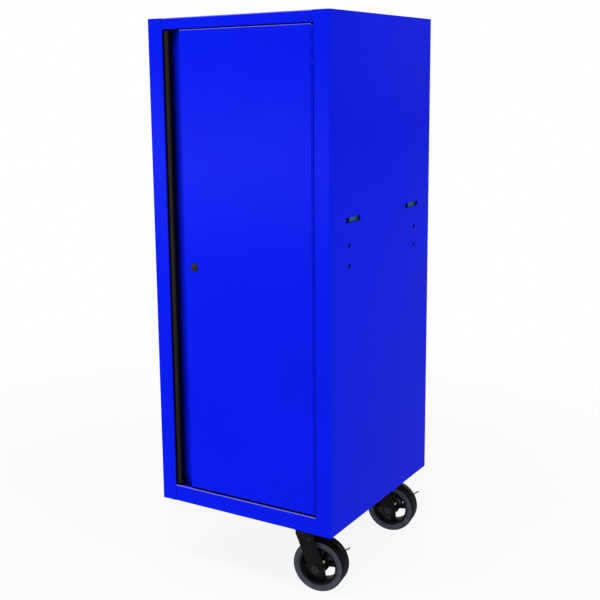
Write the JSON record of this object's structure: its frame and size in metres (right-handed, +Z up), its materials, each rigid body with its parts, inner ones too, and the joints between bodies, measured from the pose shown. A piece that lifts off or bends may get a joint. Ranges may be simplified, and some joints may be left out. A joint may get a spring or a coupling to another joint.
{
  "type": "tool chest side locker",
  "caption": "Tall narrow steel side locker with a full-length pull door, inside shelves and swivel casters under its free side, made to bolt to a tool chest.",
  "frame": {"origin": "on the outer face of the left side, at the centre of its four bolt holes, where the locker is fastened to a tool chest", "axes": "+X from the chest side to the caster side, +Y from the front to the back, +Z up"},
  "size_m": [0.4897, 0.5366, 1.3495],
  "materials": {
    "blue_paint": "gloss powder coat",
    "pull_black": "black anodised",
    "zinc": "zinc plated",
    "caster_black": "black paint",
    "wheel_black": "black paint",
    "tyre": "smooth rubber",
    "steel": "bright",
    "black_oxide": "black oxide",
    "brass": "satin",
    "lock_black": "black satin",
    "catch_black": "moulded"
  },
  "bodies": {
    "cabinet": {"left_side_panel": "blue_paint", "right_side_panel": "blue_paint", "top_panel": "blue_paint", "bottom_panel": "blue_paint", "back_panel": "blue_paint", "caster_channel": "blue_paint", "magnetic_catch": "catch_black", "front_left_upright": "blue_paint", "rear_left_upright": "blue_paint", "front_right_upright": "blue_paint", "rear_right_upright": "blue_paint", "front_left_keeper": "zinc", "rear_left_keeper": "zinc", "front_right_keeper": "zinc", "rear_right_keeper": "zinc", "low_shelf": "blue_paint", "middle_shelf": "blue_paint", "high_shelf": "blue_paint", "low_left_bracket": "zinc", "low_right_bracket": "zinc", "middle_left_bracket": "zinc", "middle_right_bracket": "zinc", "high_left_bracket": "zinc", "high_right_bracket": "zinc", "hinge_leaf_frame": "blue_paint", "hinge_pin": "steel", "front_caster_plate": "caster_black", "front_kingpin": "caster_black", "rear_caster_plate": "caster_black", "rear_kingpin": "caster_black"},
    "door": {"door_skin": "blue_paint", "door_pull": "pull_black", "door_stiffener": "blue_paint", "catch_strike": "zinc", "hinge_leaf_door": "blue_paint", "lock_housing": "lock_black", "lock_nut": "zinc"},
    "lock": {"lock_plug": "lock_black", "lock_cam": "zinc"},
    "front_swivel": {"front_fork": "caster_black", "front_brake_pin": "black_oxide", "front_axle_bolt": "black_oxide", "front_axle_nut": "black_oxide", "front_axle_sleeve": "steel"},
    "front_wheel": {"front_wheel_core": "wheel_black", "front_tyre": "tyre", "front_wheel_bearing": "steel", "front_grease_nipple": "brass"},
    "front_brake": {"front_brake_pedal": "caster_black"},
    "rear_swivel": {"rear_fork": "caster_black", "rear_brake_pin": "black_oxide", "rear_axle_bolt": "black_oxide", "rear_axle_nut": "black_oxide", "rear_axle_sleeve": "steel"},
    "rear_wheel": {"rear_wheel_core": "wheel_black", "rear_tyre": "tyre", "rear_wheel_bearing": "steel", "rear_grease_nipple": "brass"},
    "rear_brake": {"rear_brake_pedal": "caster_black"}
  },
  "joints": [
    {"name": "door_hinge", "type": "hinge", "parent": "cabinet", "child": "door", "pos_m": [0.4403, -0.2661, -0.0465], "axis": [0, 0, 1], "range_deg": [0, 120]},
    {"name": "lock_turn", "type": "hinge", "parent": "door", "child": "lock", "pos_m": [0.1168, -0.2667, -0.0415], "axis": [0, 1, 0], "range_deg": [0, 90]},
    {"name": "front_swivel_turn", "type": "hinge", "parent": "cabinet", "child": "front_swivel", "pos_m": [0.3784, -0.1987, -0.6535], "axis": [0, 0, 1], "continuous": true},
    {"name": "front_wheel_spin", "type": "hinge", "parent": "front_swivel", "child": "front_wheel", "pos_m": [0.41603, -0.19341, -0.7485], "axis": [-0.1392, 0.9903, 0], "continuous": true},
    {"name": "front_brake_press", "type": "hinge", "parent": "front_swivel", "child": "front_brake", "pos_m": [0.39821, -0.19592, -0.6768], "axis": [-0.1392, 0.9903, 0], "range_deg": [0, 1.1], "stiffness_Nm_per_rad": 5, "springref_deg": -5.73},
    {"name": "rear_swivel_turn", "type": "hinge", "parent": "cabinet", "child": "rear_swivel", "pos_m": [0.3784, 0.1987, -0.6535], "axis": [0, 0, 1], "continuous": true},
    {"name": "rear_wheel_spin", "type": "hinge", "parent": "rear_swivel", "child": "rear_wheel", "pos_m": [0.41603, 0.20399, -0.7485], "axis": [-0.1392, 0.9903, 0], "continuous": true},
    {"name": "rear_brake_press", "type": "hinge", "parent": "rear_swivel", "child": "rear_brake", "pos_m": [0.39821, 0.20148, -0.6768], "axis": [-0.1392, 0.9903, 0], "range_deg": [0, 1.1], "stiffness_Nm_per_rad": 5, "springref_deg": -5.73}
  ]
}
